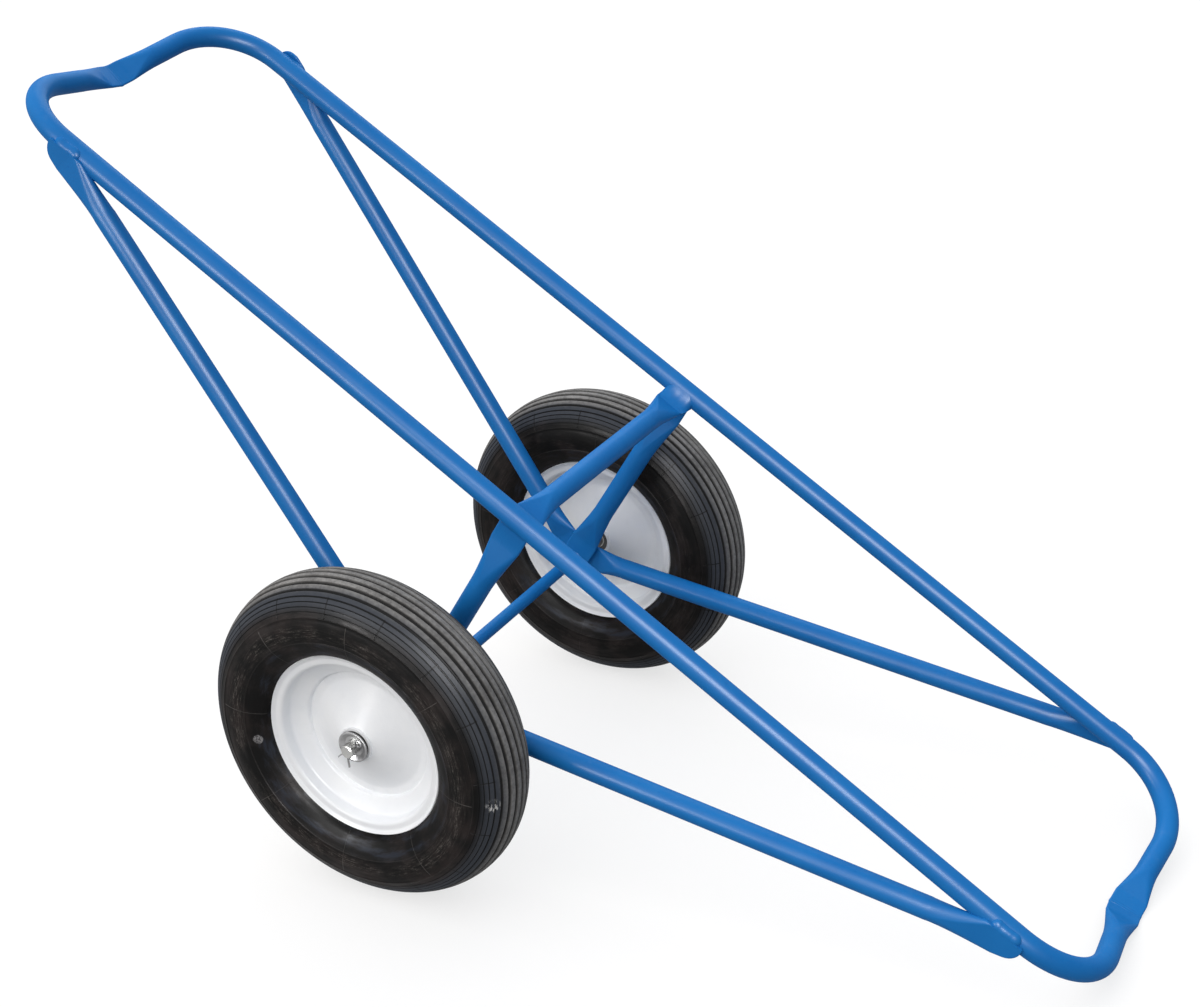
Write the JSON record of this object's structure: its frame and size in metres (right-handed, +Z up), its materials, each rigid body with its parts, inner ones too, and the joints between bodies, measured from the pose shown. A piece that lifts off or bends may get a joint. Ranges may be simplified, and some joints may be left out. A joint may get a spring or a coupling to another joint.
{
  "type": "carpet dolly",
  "caption": "Long open cradle of bent steel tube on an axle with pneumatic wheels, for moving carpet rolls; it stands tipped, with its rear end bar on the floor.",
  "frame": {"origin": "on the floor, under the middle of the dolly's bounding box as it stands", "axes": "+X along the dolly towards the end bar that rests on the floor, +Y along the axle to the right wheel, +Z up"},
  "size_m": [1.2981, 0.649, 0.8836],
  "materials": {
    "frame_paint": "gloss blue enamel",
    "axle_steel": "blue between the feet, bare zinc at both ends",
    "zinc": "zinc plated",
    "bearing_steel": "ground rings, dark sunk seals",
    "rim_paint": "gloss white enamel",
    "tyre_rubber": "ribbed, dusty",
    "tube_rubber": "matt",
    "valve_rubber": "matt",
    "cap_plastic": "matt"
  },
  "bodies": {
    "frame": {"side_rail_left": "frame_paint", "side_rail_right": "frame_paint", "front_left_brace": "frame_paint", "front_right_brace": "frame_paint", "rear_left_brace": "frame_paint", "rear_right_brace": "frame_paint", "center_hoop": "frame_paint", "axle": "axle_steel", "brace_welds": "frame_paint", "hoop_welds": "frame_paint", "axle_welds": "frame_paint", "end_bar_seams": "frame_paint", "spacer_left": "zinc", "spacer_right": "zinc", "washer_left": "zinc", "washer_right": "zinc", "split_pin_left": "zinc", "split_pin_right": "zinc"},
    "wheel_left": {"tyre_left": "tyre_rubber", "inner_tube_left": "tube_rubber", "rim_outer_left": "rim_paint", "rim_inner_left": "rim_paint", "hub_left": "rim_paint", "bearing_outer_left": "bearing_steel", "bearing_inner_left": "bearing_steel", "valve_stem_left": "valve_rubber", "valve_cap_left": "cap_plastic"},
    "wheel_right": {"tyre_right": "tyre_rubber", "inner_tube_right": "tube_rubber", "rim_outer_right": "rim_paint", "rim_inner_right": "rim_paint", "hub_right": "rim_paint", "bearing_outer_right": "bearing_steel", "bearing_inner_right": "bearing_steel", "valve_stem_right": "valve_rubber", "valve_cap_right": "cap_plastic"}
  },
  "joints": [
    {"name": "wheel_left_spin", "type": "hinge", "parent": "frame", "child": "wheel_left", "pos_m": [-0.16017, -0.274, 0.201], "axis": [0, 1, 0], "continuous": true},
    {"name": "wheel_right_spin", "type": "hinge", "parent": "frame", "child": "wheel_right", "pos_m": [-0.16017, 0.274, 0.201], "axis": [0, 1, 0], "continuous": true}
  ]
}
